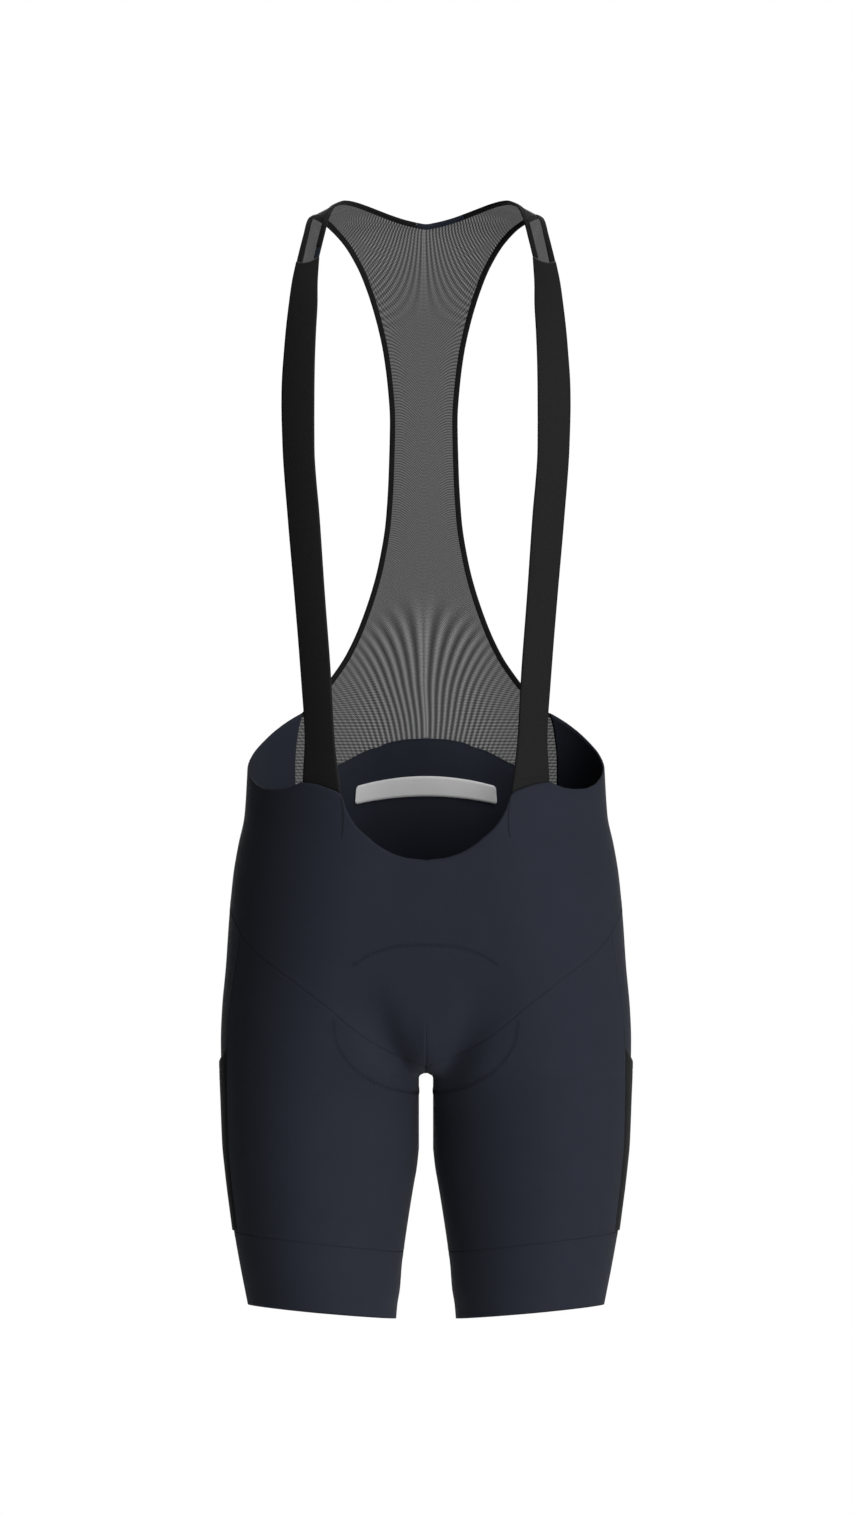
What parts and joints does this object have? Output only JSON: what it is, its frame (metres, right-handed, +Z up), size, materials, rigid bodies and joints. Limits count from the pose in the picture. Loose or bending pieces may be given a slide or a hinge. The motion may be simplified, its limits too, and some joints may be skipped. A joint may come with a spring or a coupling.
{
  "type": "cycling bib shorts",
  "caption": "Cycling bib shorts in worn form, hollow and open: stretch knit seat and legs with wide leg bands, elastic front straps and a net back with taped edges.",
  "frame": {"origin": "on the shoulder line, midway between the two shoulders, where the wearer carries the shorts", "axes": "+Z up the wearer's body, -Y the way the wearer faces, +X the wearer's left"},
  "size_m": [0.3384, 0.249, 0.9239],
  "materials": {
    "navy_knit": "smooth matte stretch knit, dark navy",
    "black_knit": "smooth matte stretch knit, black",
    "black_net": "fine see-through black net",
    "black_elastic": "flat woven elastic, black, slight sheen",
    "black_binding": "folded elastic tape, black",
    "navy_binding": "folded elastic tape, dark navy",
    "grey_label": "smooth matte transfer label, light grey"
  },
  "bodies": {
    "root": {"front_panel": "navy_knit", "back_panel": "navy_knit", "back_net": "black_net", "neck_binding_left": "black_binding", "neck_binding_right": "black_binding", "neck_binding_navy_back": "navy_binding", "neck_binding_navy_end": "navy_binding", "size_label": "grey_label", "leg_panel_left": "navy_knit", "leg_panel_right": "navy_knit", "side_panel_left": "navy_knit", "side_panel_right": "navy_knit", "thigh_pocket_left": "black_knit", "thigh_pocket_right": "black_knit", "leg_band_left": "navy_knit", "leg_band_right": "navy_knit", "front_strap_left": "black_elastic", "front_strap_right": "black_elastic", "armhole_binding_left": "black_binding", "armhole_binding_right": "black_binding"}
  },
  "joints": []
}
